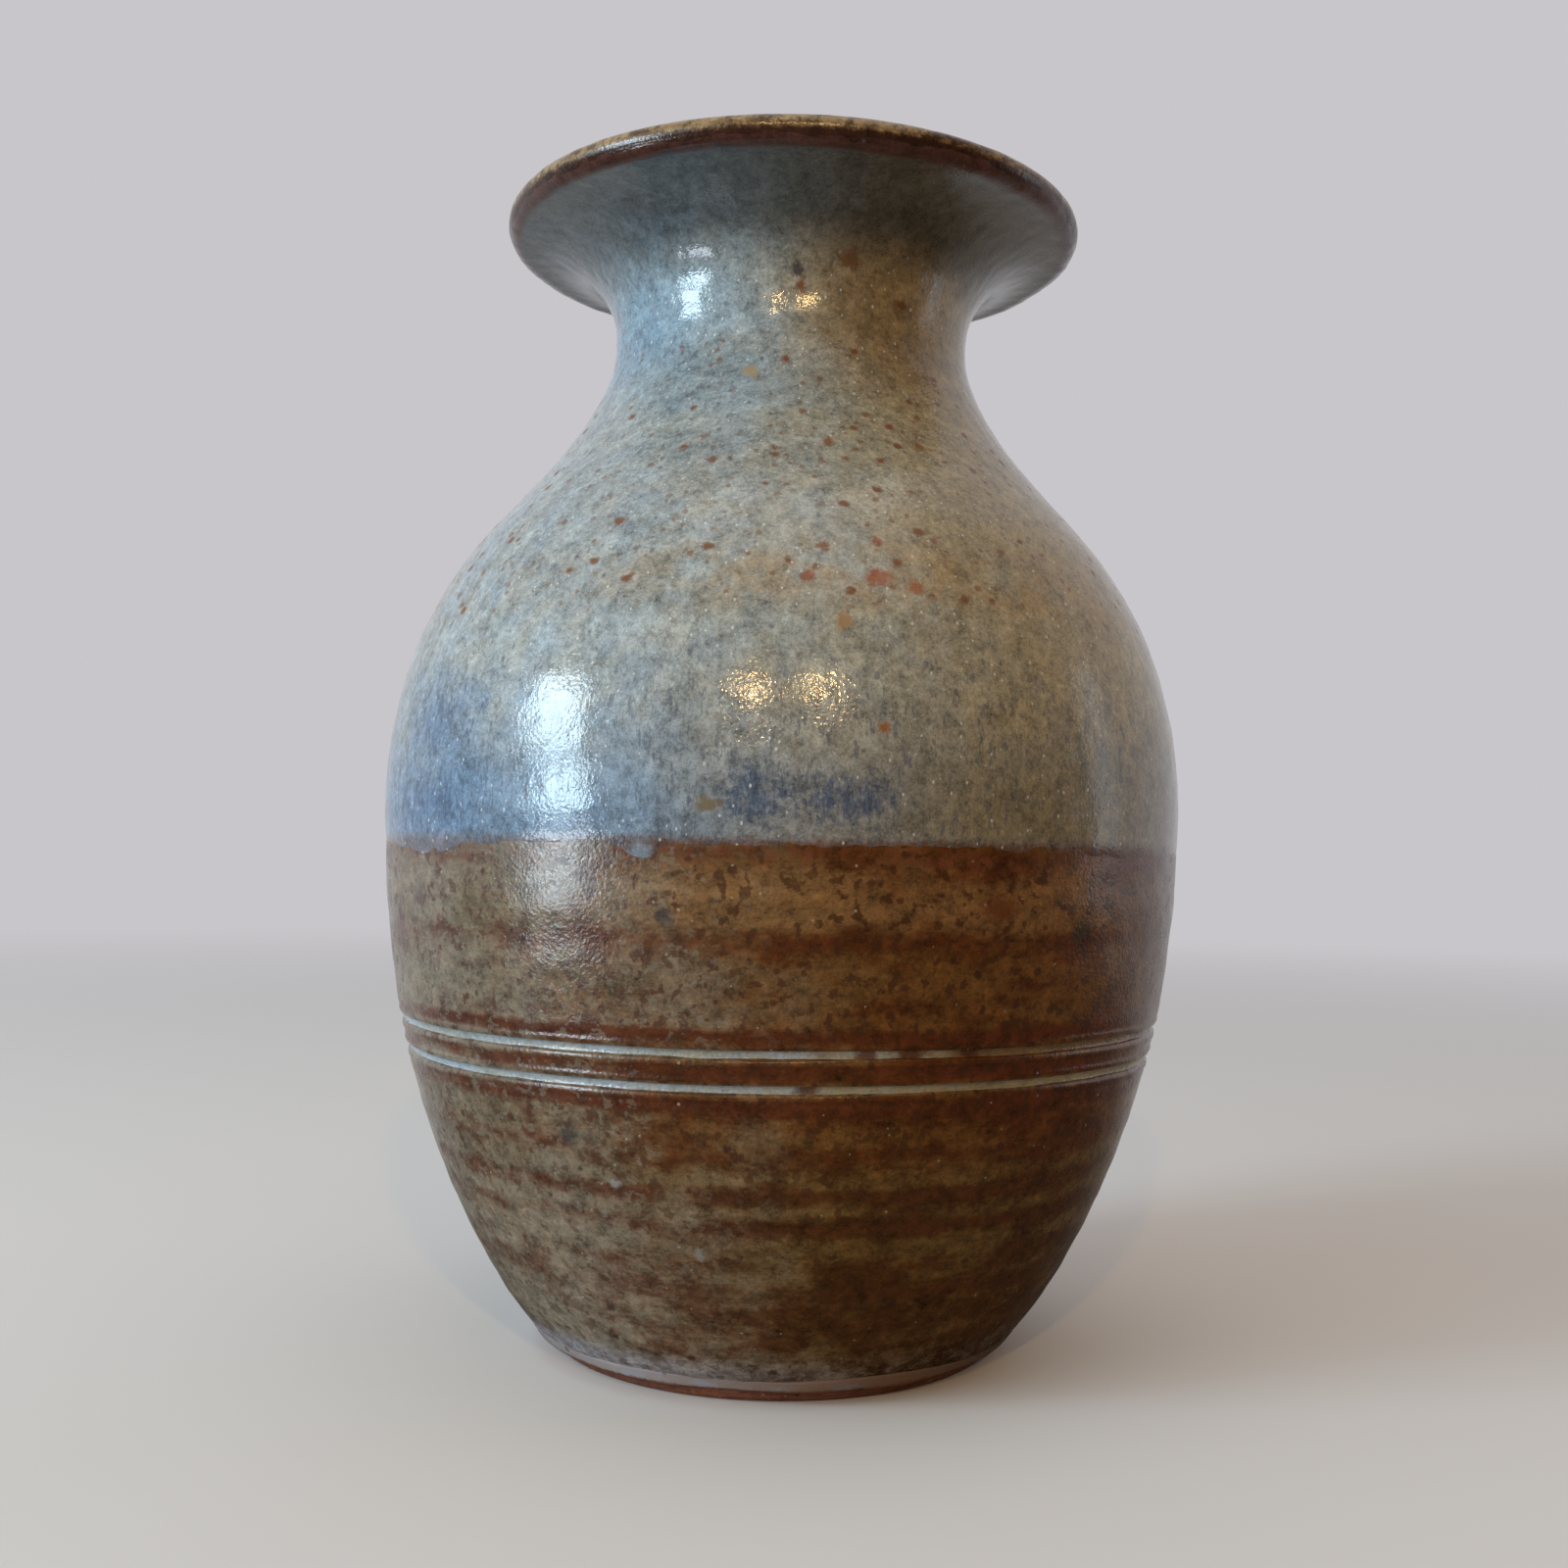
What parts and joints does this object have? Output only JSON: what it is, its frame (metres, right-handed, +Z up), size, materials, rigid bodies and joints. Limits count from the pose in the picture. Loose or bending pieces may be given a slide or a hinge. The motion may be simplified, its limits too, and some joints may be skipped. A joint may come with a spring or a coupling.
{
  "type": "stoneware vase",
  "caption": "Free-standing wheel-thrown stoneware vase with a swelling belly, narrow neck, wide flared lip and layered brown and blue glazes; holds stems or stands as a display piece.",
  "frame": {"origin": "centre of the foot ring, on the table plane", "axes": "+Z up along the vase's turning axis; X and Y level"},
  "size_m": [0.082, 0.082, 0.116],
  "materials": {
    "bare_clay": "fired red-brown stoneware, dry and slightly gritty",
    "brown_glaze": "satin brown glaze with khaki mottling and rust specks",
    "blue_glaze": "satin blue-grey glaze, mottled, with tan and rust breaks",
    "liner_glaze": "satin brown liner glaze",
    "pooled_glaze": "pale blue-grey glaze, pooled thick"
  },
  "bodies": {
    "root": {"clay_body": "bare_clay", "base_glaze": "brown_glaze", "top_glaze": "blue_glaze", "liner_glaze": "liner_glaze", "groove_glaze_upper": "pooled_glaze", "groove_glaze_lower": "pooled_glaze", "foot_glaze_roll": "pooled_glaze"}
  },
  "joints": []
}
